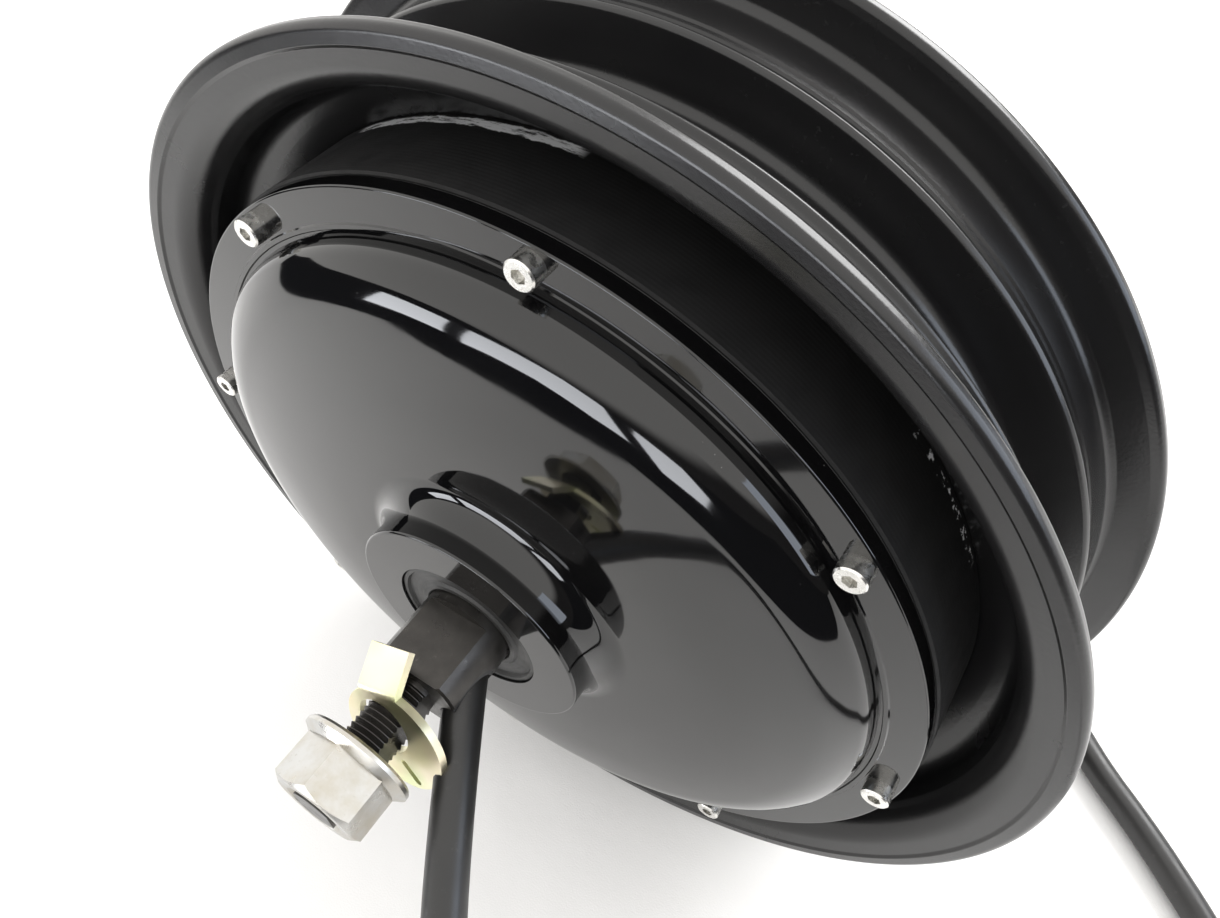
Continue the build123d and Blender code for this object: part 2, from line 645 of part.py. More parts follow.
save("axle", axle())
save("shaft_key", shaft_key())
save("stator_core", stator_core())
save("stator_spider", spider())
for phase, letter in enumerate("abc"):
    save(f"coils_phase_{letter}", *coils(phase))
save("sensor_board", sensor_board())
save("board_posts", *board_posts())
save("hall_sensors", *hall_sensors())

save("lead_bush", lead_bush())
save("lead_inner_bundle", inner_bundle())
save("phase_leads", *phase_leads())
save("motor_lead", tube(ROUTE, LEAD_D / 2))
save("lead_coil", lead_coil())
save("coil_ties", *coil_ties())
save("lead_tail", tube(TAIL, LEAD_D / 2))
save("lead_end_sleeve", end_sleeve())
save("phase_wires", *phase_wires())
save("phase_terminals", *phase_terminals())
save("signal_wire", signal_wire())
save("signal_plug", signal_plug())
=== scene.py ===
"""Looks of the hub motor wheel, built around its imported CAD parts. Lengths are in metres."""
import json
from math import ceil, cos, degrees, pi, radians, sin, tan

import bmesh
import bpy
from mathutils import Matrix, Vector


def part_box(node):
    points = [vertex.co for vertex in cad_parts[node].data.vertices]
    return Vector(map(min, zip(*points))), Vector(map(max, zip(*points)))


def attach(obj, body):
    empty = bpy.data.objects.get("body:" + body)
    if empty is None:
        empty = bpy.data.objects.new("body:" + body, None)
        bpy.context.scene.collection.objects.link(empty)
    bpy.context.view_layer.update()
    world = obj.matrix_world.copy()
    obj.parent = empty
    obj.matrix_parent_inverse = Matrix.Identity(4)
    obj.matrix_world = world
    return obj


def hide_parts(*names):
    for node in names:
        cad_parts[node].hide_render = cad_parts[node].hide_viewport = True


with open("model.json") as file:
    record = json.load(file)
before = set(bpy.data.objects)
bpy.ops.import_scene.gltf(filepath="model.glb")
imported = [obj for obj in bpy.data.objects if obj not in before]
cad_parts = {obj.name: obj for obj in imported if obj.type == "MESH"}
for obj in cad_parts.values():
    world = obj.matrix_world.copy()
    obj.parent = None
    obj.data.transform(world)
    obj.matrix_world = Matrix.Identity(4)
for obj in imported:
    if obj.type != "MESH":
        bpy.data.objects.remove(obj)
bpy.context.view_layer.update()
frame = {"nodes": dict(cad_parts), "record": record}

MM = 0.001
RIM_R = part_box("rim")[1].z
FLOOR = -RIM_R

# ---------------------------------------------------------------- camera

CAMERA_AT = (0.09275, -0.14190, 0.21201)
CAMERA_AZIMUTH, CAMERA_ELEVATION, CAMERA_ROLL = 32.386, 50.963, 0.546
CAMERA_LENS = 27.56  # mm, on a sensor 36 mm wide


def make_camera():
    """Looks down on the side of the wheel where the lead comes out."""
    a, e, roll = (radians(x) for x in (CAMERA_AZIMUTH, CAMERA_ELEVATION, CAMERA_ROLL))
    ahead = Vector((-sin(a) * cos(e), cos(a) * cos(e), -sin(e)))
    right = ahead.cross(Vector((0, 0, 1))).normalized()
    up = right.cross(ahead)
    right, up = right * cos(roll) + up * sin(roll), up * cos(roll) - right * sin(roll)
    data = bpy.data.cameras.new("camera")
    data.lens = CAMERA_LENS
    data.sensor_width = 36.0
    data.clip_start = 0.005
    camera = bpy.data.objects.new("camera", data)
    camera.matrix_world = Matrix.Translation(CAMERA_AT) @ Matrix((right, up, -ahead)).transposed().to_4x4()
    bpy.context.collection.objects.link(camera)
    bpy.context.scene.camera = camera


make_camera()

# ---------------------------------------------------------------- the free lead

LEAD_D = 0.0105
LEAD_Z = FLOOR + LEAD_D / 2 + 0.0008
LEAD_START = (0.004, -0.0665, -0.0006)
ROUTE = [
    LEAD_START, (0.0325, -0.1160, -0.0096), (0.0605, -0.1535, -0.036), (0.093, -0.177, -0.074),
    (0.127, -0.188, -0.110), (0.170, -0.181, LEAD_Z), (0.210, -0.152, LEAD_Z),
    (0.238, -0.107, LEAD_Z), (0.250, -0.053, LEAD_Z), (0.246, 0.010, LEAD_Z),
    (0.204, 0.049, LEAD_Z), (0.168, 0.074, LEAD_Z), (0.116, 0.134, LEAD_Z),
]
COIL_CENTRE = (0.012, 0.146)
COIL_OUTER_R, COIL_INNER_R, COIL_TOP_R = 0.0632, 0.0524, 0.0578
COIL_RISE = 0.0105
COIL_TOP_Z = LEAD_Z + COIL_RISE
COIL_POINTS = 24  # in one turn
# Along the coil: the angle, and there the radius and the height of the lead.
COIL_STEPS = [
    (43.6, COIL_OUTER_R, 0.0), (313.6, COIL_OUTER_R, 0.0), (403.6, COIL_INNER_R, 0.0),
    (540.0, COIL_INNER_R, 0.0), (600.0, COIL_INNER_R, COIL_RISE), (660.0, COIL_TOP_R, COIL_RISE),
    (800.0, COIL_TOP_R, COIL_RISE),
]
TAIL = [
    (0.012, 0.2038, COIL_TOP_Z), (-0.032, 0.203, COIL_TOP_Z + 0.0006), (-0.068, 0.192, LEAD_Z + 0.004),
    (-0.094, 0.166, LEAD_Z), (-0.103, 0.131, LEAD_Z),
]


def coil_points():
    """Control points of the wound turns; they stand a little outside the turns' own radius."""
    step = 360 / COIL_POINTS
    outside = 2 / (1 + cos(radians(step / 2)))
    count = round((COIL_STEPS[-1][0] - COIL_STEPS[0][0]) / step)
    points = []
    for k in range(count + 1):
        angle = COIL_STEPS[0][0] + (COIL_STEPS[-1][0] - COIL_STEPS[0][0]) * k / count
        for (a0, r0, z0), (a1, r1, z1) in zip(COIL_STEPS, COIL_STEPS[1:]):
            if a0 <= angle <= a1:
                t = (angle - a0) / (a1 - a0)
                ease = t * t * (3 - 2 * t)
                r, z = r0 + (r1 - r0) * ease, z0 + (z1 - z0) * ease
                break
        a = radians(angle)
        x, y = (c + r * outside * d for c, d in zip(COIL_CENTRE, (cos(a), sin(a))))
        points.append((x, y, LEAD_Z + z))
    return points


def make_lead():
    """One smooth cord: the free run, the coil on the table and the tail to the plug."""
    points = ROUTE + coil_points() + TAIL
    data = bpy.data.curves.new("lead", "CURVE")
    data.dimensions = "3D"
    data.bevel_depth = 1.0  # times each point's radius, which also sets the bounding box
    data.bevel_resolution = 8
    data.use_fill_caps = True
    spline = data.splines.new("NURBS")
    spline.points.add(len(points) - 1)
    for point, place in zip(spline.points, points):
        point.co = (*place, 1)
        point.radius = LEAD_D / 2
    spline.order_u = 3
    spline.use_endpoint_u = True
    spline.resolution_u = 10
    lead = bpy.data.objects.new("lead", data)
    bpy.context.collection.objects.link(lead)
    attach(lead, "axle_assembly")
    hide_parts("motor_lead", "lead_coil", "lead_tail")
    return lead


lead = make_lead()

# ---------------------------------------------------------------- turned pieces, finer than the CAD's facets

TURN_STEPS = 360
# Half sections: radius and distance from the wheel's middle plane, in mm, then the corner's rounding.
RIM_HALF = [
    (110.42, 9.6), (111.4, 10.4), (116, 12.4, 3), (121.6, 14.6, 5), (122.3, 23, 1), (123.2, 24.5, 1),
    (125.4, 30.2, 8), (133.2, 31.7, 0.4), (134, 32.3, 0.3), (138, 32.3, 1.8), (138, 28.4, 1.6),
    (135.2, 27.9, 3), (126.6, 27.3, 2.6), (125.7, 18.2), (125.2, 17.8), (125.2, 17.4), (125.65, 17),
    (125.6, 16), (125.1, 15.6), (125.1, 15.2), (125.6, 14.8), (126, 13.6, 1), (127.1, 12.4, 0.9),
    (126.4, 11, 1.2), (113.1, 8.8, 3),
]
COVER_SECTION = [
    (21, 63.2), (21, 54.8), (23.5, 54.8), (23.5, 41.8), (30, 41.8, 1), (30, 47.4, 3), (95.4, 44.6, 7),
    (95.4, 30.8), (100.35, 30.8, 0.6), (100.35, 34.9), (109.8, 34.9), (109.8, 38.9, 0.5), (101.5, 38.9),
    (101.2, 39.25), (100.2, 39.25), (99.9, 38.9), (99, 38.9), (98.2, 43.2, 5), (92.2, 48, 18),
    (78, 50, 200), (60, 51, 400), (33.4, 51.4, 7.6), (33.4, 63.2, 0.7),
]
# Bores run along Y, from one distance from the middle plane to another, in mm.
VALVE_PITCH_R, VALVE_ANGLE = 117.6, 205.0
VALVE_HOLE = (4.15, VALVE_PITCH_R, VALVE_ANGLE, 2, 24)
VALVE_RECESS = (6.6, VALVE_PITCH_R, VALVE_ANGLE, 12.2, 24)
SCREW_PITCH_R, SCREW_HOLE_R, FIRST_SCREW, SCREW_COUNT = 105.4, 2.2, -5.7, 8
SCREW_FROM, SCREW_TO = 30, 44
ROD_SIDES = 32
SHARP_FROM = radians(25)


def rounded(corners):
    """Points of a closed outline whose corners are rounded where a third number says so."""
    points = []
    for k, corner in enumerate(corners):
        here = Vector(corner[:2])
        if len(corner) == 2:
            points.append(here)
            continue
        back = (Vector(corners[k - 1][:2]) - here).normalized()
        ahead = (Vector(corners[(k + 1) % len(corners)][:2]) - here).normalized()
        half = back.angle(ahead) / 2
        middle = here + (back + ahead).normalized() * corner[2] / sin(half)
        start = here + back * corner[2] / tan(half) - middle
        turn = start.angle_signed(here + ahead * corner[2] / tan(half) - middle)
        steps = max(6, ceil(abs(degrees(turn)) / 4))
        for step in range(steps + 1):
            a = -turn * step / steps
            x, y = start
            points.append(middle + Vector((x * cos(a) - y * sin(a), x * sin(a) + y * cos(a))))
    return points


def solid(name, vertices, faces):
    """A closed mesh object whose faces point outwards; the vertices come in mm."""
    mesh = bpy.data.meshes.new(name)
    mesh.from_pydata([[c * MM for c in v] for v in vertices], [], faces)
    shape = bmesh.new()
    shape.from_mesh(mesh)
    bmesh.ops.recalc_face_normals(shape, faces=shape.faces)
    shape.to_mesh(mesh)
    shape.free()
    made = bpy.data.objects.new(name, mesh)
    bpy.context.collection.objects.link(made)
    return made


def lathe(name, corners):
    """The outline turned about Y."""
    outline = rounded(corners)
    n = len(outline)
    vertices, faces = [], []
    for k in range(TURN_STEPS):
        a = 2 * pi * k / TURN_STEPS
        vertices += [(r * cos(a), y, r * sin(a)) for r, y in outline]
        ahead = (k + 1) % TURN_STEPS * n
        faces += [(k * n + i, k * n + (i + 1) % n, ahead + (i + 1) % n, ahead + i) for i in range(n)]
    return solid(name, vertices, faces)


def rod(radius, pitch_r, angle, y0, y1):
    """A rod along Y at an angle round the wheel's axis."""
    x, z = pitch_r * cos(radians(angle)), pitch_r * sin(radians(angle))
    turns = [2 * pi * k / ROD_SIDES for k in range(ROD_SIDES)]
    vertices = [(x + radius * cos(a), y, z + radius * sin(a)) for y in (y0, y1) for a in turns]
    ends = [list(range(ROD_SIDES)), list(range(ROD_SIDES, 2 * ROD_SIDES))]
    sides = [(k, (k + 1) % ROD_SIDES, ROD_SIDES + (k + 1) % ROD_SIDES, ROD_SIDES + k)
             for k in range(ROD_SIDES)]
    return solid("rod", vertices, ends + sides)


def drilled(blank, bores):
    """Cuts the bores into the blank's own mesh and gives it smooth faces between sharp edges."""
    for bore in bores:
        tool = rod(*bore)
        boolean = blank.modifiers.new("drill", "BOOLEAN")
        boolean.operation, boolean.solver, boolean.object = "DIFFERENCE", "EXACT", tool
        bpy.context.view_layer.update()
        shown = blank.evaluated_get(bpy.context.evaluated_depsgraph_get())
        mesh = bpy.data.meshes.new_from_object(shown)
        blank.modifiers.clear()
        blank.data = mesh
        bpy.data.objects.remove(tool)
    blank.data.shade_smooth()
    blank.data.set_sharp_from_angle(angle=SHARP_FROM)
    weighted = blank.modifiers.new("large faces set the normals", "WEIGHTED_NORMAL")
    weighted.keep_sharp = True
    weighted.weight = 90


def make_turned():
    """The rim and both covers, on the wheel's rotor in place of their faceted meshes."""
    rim = lathe("rim_turned", RIM_HALF + [(r, -y, *c) for r, y, *c in reversed(RIM_HALF)])
    drilled(rim, [VALVE_HOLE, VALVE_RECESS])
    made = {"rim": rim}
    angles = [FIRST_SCREW + 360 / SCREW_COUNT * k for k in range(SCREW_COUNT)]
    for name, side in (("cable_side_cover", -1), ("plain_side_cover", 1)):
        cover = lathe(name + "_turned", [(r, side * y, *c) for r, y, *c in COVER_SECTION])
        drilled(cover, [(SCREW_HOLE_R, SCREW_PITCH_R, a, side * SCREW_FROM, side * SCREW_TO)
                        for a in angles])
        made[name] = cover
    for name, piece in made.items():
        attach(piece, "rotor")
        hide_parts(name)
    return made


turned = make_turned()

# ---------------------------------------------------------------- material kit


class Finish:
    """A material being built: its shader, and textures placed by the object's own coordinates."""

    def __init__(self, name, **sockets):
        self.material = bpy.data.materials.new(name)
        self.material.use_nodes = True
        self.tree = self.material.node_tree
        self.shader = self.tree.nodes["Principled BSDF"]
        for socket, value in sockets.items():
            self.shader.inputs[socket.replace("_", " ")].default_value = value
        self.place = self.node("TexCoord").outputs["Object"]
        self.normal = None

    def node(self, kind, inputs=(), **settings):
        node = self.tree.nodes.new("ShaderNode" + kind)
        for name, value in settings.items():
            setattr(node, name, value)
        for name, value in dict(inputs).items():
            self.feed(node.inputs[name], value)
        return node

    def feed(self, socket, value):
        """Links a socket or sets a plain value."""
        if isinstance(value, bpy.types.NodeSocket):
            self.tree.links.new(value, socket)
        else:
            socket.default_value = value

    def math(self, operation, a, b=0.0):
        return self.node("Math", {0: a, 1: b}, operation=operation).outputs[0]

    def noise(self, size, detail=2.0, rough=0.5, stretch=(1, 1, 1)):
        """Noise whose lumps are about size across, drawn out along an axis by stretch."""
        scale = self.node("Mapping", {"Vector": self.place, "Scale": [1 / s for s in stretch]})
        return self.node("TexNoise", {"Vector": scale.outputs[0], "Scale": 1 / size, "Detail": detail,
                                      "Roughness": rough}).outputs["Fac"]

    def bands(self, along, period):
        """0 to 1 and back along a value, once in each period."""
        turns = self.math("MULTIPLY", along, 2 * pi / period)
        return self.span(self.math("SINE", turns), -1, 1)

    def span(self, value, low, high, to_low=0.0, to_high=1.0):
        """value from low..high carried to to_low..to_high, and held at the ends."""
        return self.node("MapRange", {"Value": value, "From Min": low, "From Max": high,
                                      "To Min": to_low, "To Max": to_high}).outputs["Result"]

    def mix(self, factor, a, b):
        node = self.tree.nodes.new("ShaderNodeMix")
        node.data_type = "RGBA"
        self.feed(node.inputs[0], factor)
        self.feed(node.inputs[6], a if isinstance(a, bpy.types.NodeSocket) else (*a, 1))
        self.feed(node.inputs[7], b if isinstance(b, bpy.types.NodeSocket) else (*b, 1))
        return node.outputs[2]

    def bump(self, height, depth):
        """Adds relief, depth metres high, on top of any bump so far."""
        inputs = {"Height": height, "Distance": depth, "Strength": 1.0}
        if self.normal:
            inputs["Normal"] = self.normal
        self.normal = self.node("Bump", inputs).outputs[0]

    def axes(self):
        return self.node("SeparateXYZ", {"Vector": self.place}).outputs

    def radius(self):
        """Distance from the wheel's axis."""
        x, _, z = self.axes()
        squares = self.math("ADD", self.math("MULTIPLY", x, x), self.math("MULTIPLY", z, z))
        return self.math("SQRT", squares)

    def angle(self):
        """Angle round the wheel's axis, from +X towards +Z, in degrees."""
        x, _, z = self.axes()
        return self.math("MULTIPLY", self.math("ARCTAN2", z, x), 180 / pi)

    def between(self, value, low, high, edge):
        """1 where value is between low and high, falling to 0 over edge."""
        up = self.span(value, low - edge, low)
        return self.math("MULTIPLY", up, self.span(value, high, high + edge, 1.0, 0.0))

    def done(self, colour, roughness):
        """Connects the colour, the roughness and the bumps, and gives the material."""
        self.feed(self.shader.inputs["Base Color"], colour)
        self.feed(self.shader.inputs["Roughness"], roughness)
        if self.normal:
            self.tree.links.new(self.normal, self.shader.inputs["Normal"])
        return self.material


def tone(colour, k):
    """The colour k times as bright."""
    return tuple(min(1.0, c * k) for c in colour)


SLOTS = {m["slot"]: m for m in frame["record"]["materials"]}


def own_colour(slot):
    return tuple(SLOTS[slot]["base_color"][:3])


# ---------------------------------------------------------------- black finishes

def satin_powder(slot):
    """Powder coat on the rim: fine orange peel, a little dust."""
    f = Finish(slot, Specular_IOR_Level=0.5)
    base = f.mix(f.noise(0.03, 3), (0.0065, 0.0065, 0.0072), (0.0110, 0.0108, 0.0110))
    dust = f.span(f.noise(0.0011, 5, 0.7), 0.62, 0.78, 0.0, 0.22)
    dust = f.math("MULTIPLY", dust, f.span(f.noise(0.045, 2), 0.42, 0.68))
    base = f.mix(dust, base, (0.20, 0.20, 0.20))
    rough = f.span(f.noise(0.02, 4), 0.25, 0.75, 0.21, 0.29)
    f.bump(f.noise(0.0009, 2), 0.000022)
    f.bump(f.noise(0.00035, 1), 0.000006)
    return f.done(base, rough)


def matt_drum(slot):
    """Matt paint over a turned steel ring, with pale scrapes beside the rim's web."""
    f = Finish(slot, Specular_IOR_Level=0.3)
    y, angle = f.axes()[1], f.angle()
    base = f.mix(f.noise(0.012, 4), (0.0042, 0.0042, 0.0046), (0.0085, 0.0083, 0.0085))
    lint = f.math("MULTIPLY", f.span(f.noise(0.0007, 4, 0.75), 0.66, 0.74), 0.10)
    base = f.mix(lint, base, (0.18, 0.18, 0.18))
    # A broken line of scrapes near the top, and a few chips lower down.
    ragged = f.math("ADD", y, f.math("MULTIPLY", f.noise(0.004, 3, 0.7), 0.0022))
    long_line = f.math("MULTIPLY", f.between(ragged, -0.0120, -0.0094, 0.0003),
                       f.between(angle, 89.0, 120.0, 1.5))
    torn = f.span(f.noise(0.0016, 5, 0.75, stretch=(4, 1, 4)), 0.38, 0.50)
    chips = f.math("MULTIPLY", f.between(ragged, -0.0111, -0.0096, 0.0004), f.between(angle, 27, 43, 2))
    spots = f.span(f.noise(0.0021, 3, 0.7), 0.56, 0.60)
    bare = f.math("ADD", f.math("MULTIPLY", long_line, torn), f.math("MULTIPLY", chips, spots))
    base = f.mix(f.span(bare, 0.0, 1.0, 0.0, 0.95), base, (0.80, 0.81, 0.83))
    f.bump(f.bands(y, 0.0011), 0.00002)
    f.bump(f.noise(0.0005, 2), 0.00001)
    return f.done(base, f.span(f.noise(0.006, 3), 0.3, 0.7, 0.62, 0.78))


def gloss_enamel(slot):
    """Mirror-like enamel with a slow waviness, faint smears and specks of dust."""
    f = Finish(slot, Specular_IOR_Level=0.5, IOR=1.56)
    base = f.mix(f.noise(0.05, 2), (0.0022, 0.0022, 0.0026), (0.0042, 0.0041, 0.0042))
    specks = f.node("TexVoronoi", {"Vector": f.place, "Scale": 420.0}).outputs["Distance"]
    specks = f.math("MULTIPLY", f.span(specks, 0.035, 0.05, 1.0, 0.0), f.span(f.noise(0.012, 2), 0.60, 0.68))
    base = f.mix(f.math("MULTIPLY", specks, 0.5), base, (0.30, 0.30, 0.29))
    smear = f.noise(0.035, 5, 0.6, stretch=(1, 1, 2))
    rough = f.math("ADD", f.span(smear, 0.40, 0.75, 0.035, 0.085), f.math("MULTIPLY", specks, 0.3))
    f.bump(f.noise(0.011, 1), 0.000016)
    f.bump(f.noise(0.0028, 1), 0.0000012)
    return f.done(base, rough)


def black_oxide(slot):
    """Turned and milled steel, blackened and lightly oiled."""
    f = Finish(slot, Metallic=0.85)
    base = f.mix(f.noise(0.006, 4, 0.6), (0.040, 0.038, 0.036), (0.088, 0.083, 0.078))
    worn = f.span(f.noise(0.0016, 5, 0.7), 0.62, 0.75, 0.0, 0.35)
    base = f.mix(worn, base, (0.20, 0.19, 0.175))
    rough = f.span(f.noise(0.004, 4), 0.3, 0.7, 0.26, 0.42)
    f.bump(f.bands(f.axes()[1], 0.00032), 0.0000025)
    f.bump(f.noise(0.0008, 3), 0.000006)
    return f.done(base, rough)


# ---------------------------------------------------------------- plated metal

def bright_zinc(slot, light, dull, patch, rough):
    """Zinc plate: cloudy grey patches over forged or headed steel."""
    f = Finish(slot, Metallic=1.0)
    base = f.mix(f.span(f.noise(patch, 4, 0.65), 0.32, 0.68), light, dull)
    spots = f.span(f.noise(patch * 0.12, 4, 0.7), 0.64, 0.72, 0.0, 0.45)
    base = f.mix(spots, base, tone(dull, 0.62))
    f.bump(f.noise(patch * 0.35, 3), patch * 0.008)
    f.bump(f.noise(patch * 0.05, 2), patch * 0.0012)
    return f.done(base, f.span(f.noise(patch * 0.6, 4), 0.3, 0.7, rough, rough + 0.14))


def yellow_zinc(slot):
    """Yellow chromate over zinc: gold, with green and pink drifting through it."""
    f = Finish(slot, Metallic=1.0)
    gold = f.mix(f.span(f.noise(0.012, 1), 0.3, 0.7), (0.84, 0.78, 0.50), (0.88, 0.84, 0.64))
    green = f.span(f.noise(0.010, 1, stretch=(1, 1.5, 1)), 0.42, 0.74, 0.0, 0.6)
    pink = f.span(f.noise(0.013, 1, stretch=(1.6, 1, 1)), 0.50, 0.78, 0.0, 0.6)
    base = f.mix(green, gold, (0.70, 0.80, 0.44))
    base = f.mix(pink, base, (0.88, 0.72, 0.63))
    f.bump(f.noise(0.0030, 1), 0.000004)
    return f.done(base, f.span(f.noise(0.005, 2), 0.3, 0.7, 0.30, 0.42))


# ---------------------------------------------------------------- rubber

def lead_jacket(slot):
    """Extruded rubber: a soft sheen, faint scuffs and chalky dust."""
    f = Finish(slot, Specular_IOR_Level=0.5)
    base = f.mix(f.noise(0.02, 4), (0.011, 0.011, 0.0115), (0.019, 0.0185, 0.018))
    scuff = f.span(f.noise(0.0024, 5, 0.7), 0.60, 0.74, 0.0, 0.28)
    base = f.mix(scuff, base, (0.085, 0.083, 0.080))
    f.bump(f.noise(0.0016, 3), 0.00002)
    f.bump(f.noise(0.0003, 2), 0.000006)
    return f.done(base, f.span(f.noise(0.006, 4), 0.3, 0.7, 0.30, 0.42))


# ---------------------------------------------------------------- everything else, by its record's colour

def grained(slot, rough, grain, depth, metallic=0.0, patch=0.01, contrast=0.25, lines=None):
    """A finish from the record's colour: patches of darker and lighter tone, a grain, and lines where they
    belong, with painted shade in the lines' grooves.
    """
    colour = own_colour(slot)
    f = Finish(slot, Metallic=metallic)
    shade = f.mix(f.noise(patch, 4, 0.6), tone(colour, 1 - contrast), tone(colour, 1 + contrast))
    fine = f.span(f.noise(grain * 3, 4, 0.7), 0.58, 0.74, 0.0, 0.3)
    shade = f.mix(fine, shade, tone(colour, 0.55))
    if lines:
        along, period, cut = lines
        band = f.bands(f.axes()[1] if along == "y" else f.radius(), period)
        # Painted shade: darker at the bottom of each line's groove, where the bump is lowest.
        shade = f.mix(f.span(band, 0.0, 0.35, 0.6, 0.0), shade, tone(colour, 0.35))
        f.bump(band, cut)
    f.bump(f.noise(grain, 3), depth)
    return f.done(shade, f.span(f.noise(patch * 0.4, 3), 0.3, 0.7, rough, rough + 0.12))


GRAINED = {
    "magnet_nickel": dict(rough=0.24, grain=0.0006, depth=0.000004, metallic=1.0),
    "gasket_rubber": dict(rough=0.7, grain=0.0004, depth=0.00001),
    "seal_rubber": dict(rough=0.42, grain=0.0005, depth=0.00001, lines=("radius", 0.0016, 0.00003)),
    "bearing_steel": dict(rough=0.18, grain=0.0005, depth=0.000002, metallic=1.0, contrast=0.1),
    "ball_steel": dict(rough=0.06, grain=0.001, depth=0.0000005, metallic=1.0, contrast=0.06),
    "cage_nylon": dict(rough=0.5, grain=0.0005, depth=0.000008),
    "key_steel": dict(rough=0.3, grain=0.0006, depth=0.000004, metallic=1.0),
    "lamination_steel": dict(rough=0.4, grain=0.0008, depth=0.000006, metallic=0.8,
                             lines=("y", 0.0005, 0.00003)),
    "spider_aluminium": dict(rough=0.42, grain=0.0009, depth=0.00003, metallic=1.0),
    "insulator_green": dict(rough=0.5, grain=0.0007, depth=0.00002),
    "copper_enamel": dict(rough=0.22, grain=0.0008, depth=0.000004, metallic=0.9,
                          lines=("radius", 0.00095, 0.00016)),
    "board_green": dict(rough=0.25, grain=0.0011, depth=0.000012),
    "post_brass": dict(rough=0.28, grain=0.0005, depth=0.000003, metallic=1.0, lines=("y", 0.0004, 0.000004)),
    "sensor_black": dict(rough=0.5, grain=0.0003, depth=0.000008),
    "bush_rubber": dict(rough=0.5, grain=0.0004, depth=0.00001),
    "bundle_insulation": dict(rough=0.38, grain=0.0004, depth=0.000005),
    "phase_insulation": dict(rough=0.42, grain=0.0005, depth=0.000008),
    "tie_nylon": dict(rough=0.36, grain=0.0004, depth=0.000006),
    "sleeve_black": dict(rough=0.46, grain=0.0013, depth=0.00005),
    "terminal_brass": dict(rough=0.22, grain=0.0006, depth=0.000004, metallic=1.0),
    "plug_white": dict(rough=0.44, grain=0.0005, depth=0.000008, contrast=0.08),
}


def make_materials():
    made = {
        "rim_black": satin_powder("rim_black"),
        "drum_black": matt_drum("drum_black"),
        "cover_black": gloss_enamel("cover_black"),
        "axle_steel": black_oxide("axle_steel"),
        "washer_yellow_zinc": yellow_zinc("washer_yellow_zinc"),
        "screw_zinc": bright_zinc("screw_zinc", (0.84, 0.83, 0.80), (0.62, 0.61, 0.58), 0.003, 0.20),
        "nut_zinc": bright_zinc("nut_zinc", (0.52, 0.52, 0.51), (0.43, 0.40, 0.34), 0.010, 0.26),
        "lead_rubber": lead_jacket("lead_rubber"),
    }
    for slot, values in GRAINED.items():
        made[slot] = grained(slot, **values)
    return made


materials = make_materials()
slot_of = {part["node"]: part["material_slot"] for part in frame["record"]["subparts"]}
for name, node in frame["nodes"].items():
    node.data.materials.clear()
    node.data.materials.append(materials[slot_of[name]])
lead.data.materials.append(materials["lead_rubber"])
for name, piece in turned.items():
    piece.data.materials.append(materials[slot_of[name]])

# ---------------------------------------------------------------- floor and light

FLOOR_HALF = 6
# What the covers mirror beyond the table's front edge: a dark floor with lit panes lying on it.
TABLE_EDGE = -0.305
ROOM_HALF, ROOM_DEPTH = 8.0, 9.0
ROOM_DARK = (0.02, 0.022, 0.028)
WINDOW_PANES = [
    [(-0.51, -0.495), (-1.53, -1.51), (-0.90, -1.39), (-0.31, -0.46)],
    [(-0.26, -0.42), (-0.85, -1.50), (-1.3, -5.2), (-0.7, -6.4), (-0.05, -0.70), (-0.115, -0.58),
     (-0.20, -0.545)],
    [(-0.04, -1.73), (0.015, -0.58), (0.14, -0.68), (0.38, -1.39), (0.9, -5.0), (-0.02, -5.0)],
]
WINDOW_GLOW = (8.0, 8.2, 8.6)
LIFT = 0.0006  # of the dark card above the floor, and of the panes above that
SIDE_PANE_X, SIDE_PANE_Y, SIDE_PANE_Z = 1.25, (-0.38, 1.1), (0.16, 0.95)
SIDE_GLOW = (3.3, 3.6, 4.1)
BACKDROP = (0.90, 0.90, 0.89)
BACKDROP_HALF = 9.0
WALL = (0.10, 0.097, 0.095)
CEILING = (1.76, 1.73, 1.68)
# The light comes down to the horizon on the -X side and only from higher up on the +X side.
LEAN = (-0.30, -0.05, 1.0)
WALL_TOP = (0.06, 0.24)  # the height where the wall ends, and where the ceiling is fully bright
BACK_WINDOW_AT = (0.55, 1.6, 1.35)
BACK_WINDOW_SIZE = (1.4, 1.2)
BACK_WINDOW_POWER = 50


def quad(name, corners):
    """A flat stage panel with those corners."""
    mesh = bpy.data.meshes.new(name)
    mesh.from_pydata([tuple(c) for c in corners], [], [tuple(range(len(corners)))])
    panel = bpy.data.objects.new(name, mesh)
    bpy.context.collection.objects.link(panel)
    return panel


def rectangle(x0, x1, y0, y1, z):
    return [(x0, y0, z), (x1, y0, z), (x1, y1, z), (x0, y1, z)]


def make_floor():
    """White cloth with soft folds."""
    floor = quad("floor", rectangle(-FLOOR_HALF, FLOOR_HALF, -FLOOR_HALF, FLOOR_HALF, FLOOR))
    f = Finish("white_cloth", Specular_IOR_Level=0.15, Sheen_Weight=0.2)
    base = f.mix(f.noise(0.12, 4), (0.80, 0.80, 0.81), (0.86, 0.86, 0.86))
    f.bump(f.noise(0.16, 3, 0.45), 0.006)
    f.bump(f.noise(0.03, 3, 0.5), 0.0006)
    f.bump(f.noise(0.0006, 1), 0.00006)
    floor.data.materials.append(f.done(base, f.span(f.noise(0.02, 2), 0.3, 0.7, 0.85, 0.95)))


def glowing(name, radiance):
    """A material that only gives light."""
    material = bpy.data.materials.new(name)
    material.use_nodes = True
    nodes = material.node_tree.nodes
    nodes.remove(nodes["Principled BSDF"])
    glow = nodes.new("ShaderNodeEmission")
    glow.inputs["Color"].default_value = (*radiance, 1)
    material.node_tree.links.new(glow.outputs[0], nodes["Material Output"].inputs[0])
    return material


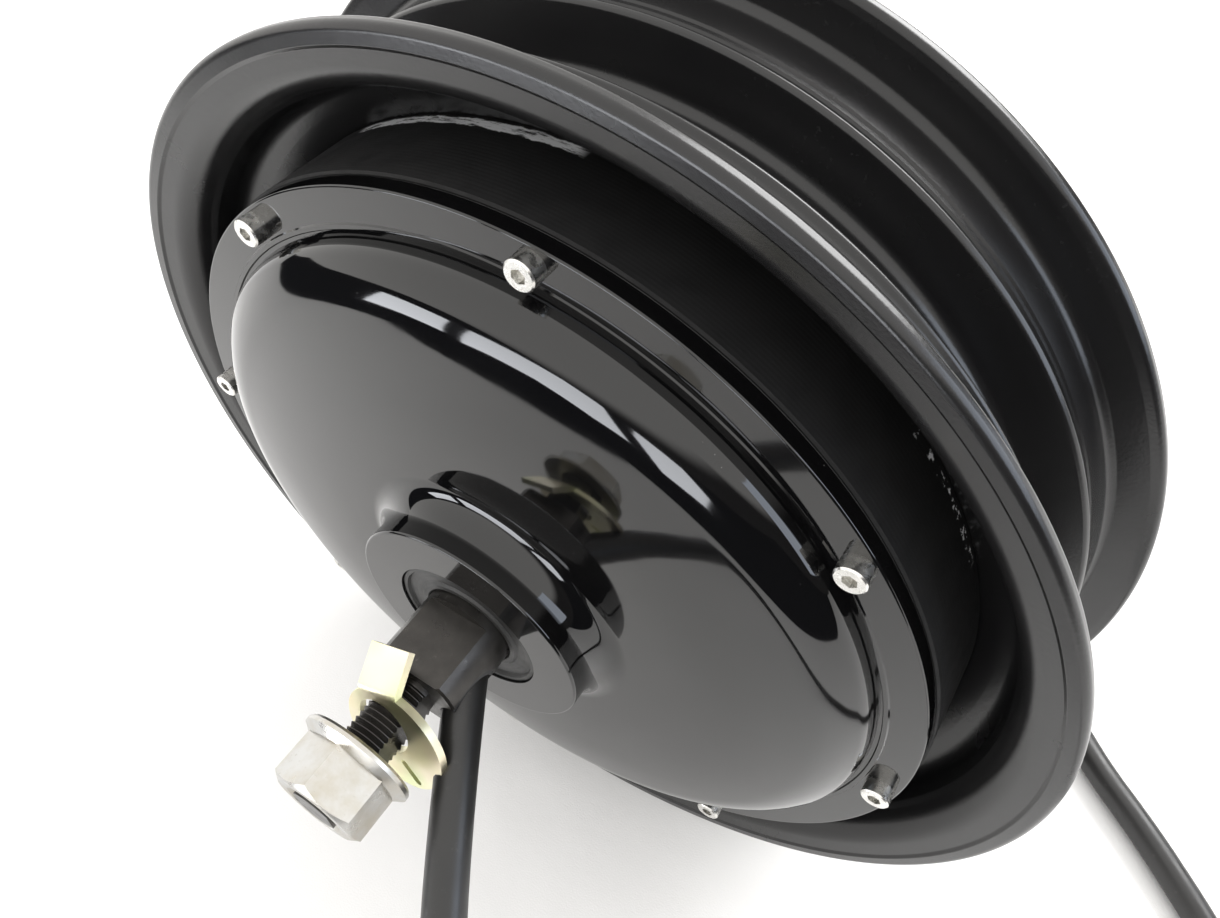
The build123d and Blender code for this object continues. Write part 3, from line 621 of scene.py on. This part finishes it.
def card(name, corners, radiance):
    """A panel that shows only in reflections."""
    panel = quad(name, corners)
    panel.data.materials.append(glowing(name, radiance))
    panel.visible_camera = False
    panel.visible_diffuse = False
    panel.visible_shadow = False


def make_room():
    """What the glossy covers mirror: the table's edge, a dark room and the panes of low windows."""
    dark = rectangle(-ROOM_HALF, ROOM_HALF, -ROOM_DEPTH, TABLE_EDGE, FLOOR + LIFT)
    card("room_dark", dark, ROOM_DARK)
    for k, pane in enumerate(WINDOW_PANES):
        card(f"window_{k}", [(x, y, FLOOR + 2 * LIFT) for x, y in pane], WINDOW_GLOW)
    (y0, y1), (z0, z1) = SIDE_PANE_Y, SIDE_PANE_Z
    x = SIDE_PANE_X
    card("side_pane", [(x, y0, z0), (x, y1, z0), (x, y1, z1), (x, y0, z1)], SIDE_GLOW)


def make_backdrop():
    """Four pale screens that show only behind the object, in views from the side."""
    half = BACKDROP_HALF
    low, high = FLOOR - 1, half
    corners = [(-half, -half), (half, -half), (half, half), (-half, half)]
    for k, ((x0, y0), (x1, y1)) in enumerate(zip(corners, corners[1:] + corners[:1])):
        screen = quad(f"backdrop_{k}", [(x0, y0, low), (x1, y1, low), (x1, y1, high), (x0, y0, high)])
        screen.data.materials.append(glowing(f"backdrop_{k}", BACKDROP))
        screen.visible_diffuse = False
        screen.visible_glossy = False
        screen.visible_transmission = False
        screen.visible_shadow = False


def make_sky():
    """A world that is dark up to the tops of the walls and bright above them."""
    world = bpy.data.worlds.new("room")
    bpy.context.scene.world = world
    world.use_nodes = True
    nodes, links = world.node_tree.nodes, world.node_tree.links
    height = nodes.new("ShaderNodeVectorMath")
    height.operation = "DOT_PRODUCT"
    height.inputs[1].default_value = LEAN
    rise = nodes.new("ShaderNodeMapRange")
    rise.interpolation_type = "SMOOTHSTEP"
    rise.inputs["From Min"].default_value, rise.inputs["From Max"].default_value = WALL_TOP
    shades = nodes.new("ShaderNodeMix")
    shades.data_type = "RGBA"
    shades.inputs[6].default_value = (*WALL, 1)
    shades.inputs[7].default_value = (*CEILING, 1)
    links.new(nodes.new("ShaderNodeTexCoord").outputs["Generated"], height.inputs[0])
    links.new(height.outputs["Value"], rise.inputs["Value"])
    links.new(rise.outputs["Result"], shades.inputs[0])
    links.new(shades.outputs[2], nodes["Background"].inputs["Color"])
    nodes["Background"].inputs["Strength"].default_value = 1.0


def make_back_window():
    """The light behind the wheel that draws the bright line along the rim's lips."""
    data = bpy.data.lights.new("back_window", "AREA")
    data.shape = "RECTANGLE"
    data.size, data.size_y = BACK_WINDOW_SIZE
    data.energy = BACK_WINDOW_POWER
    light = bpy.data.objects.new("back_window", data)
    light.location = BACK_WINDOW_AT
    light.rotation_euler = (-Vector(BACK_WINDOW_AT)).to_track_quat("-Z", "Y").to_euler()
    bpy.context.collection.objects.link(light)


make_floor()
make_room()
make_backdrop()
make_sky()
make_back_window()
bpy.context.scene.view_settings.view_transform = "Standard"

bpy.context.view_layer.update()
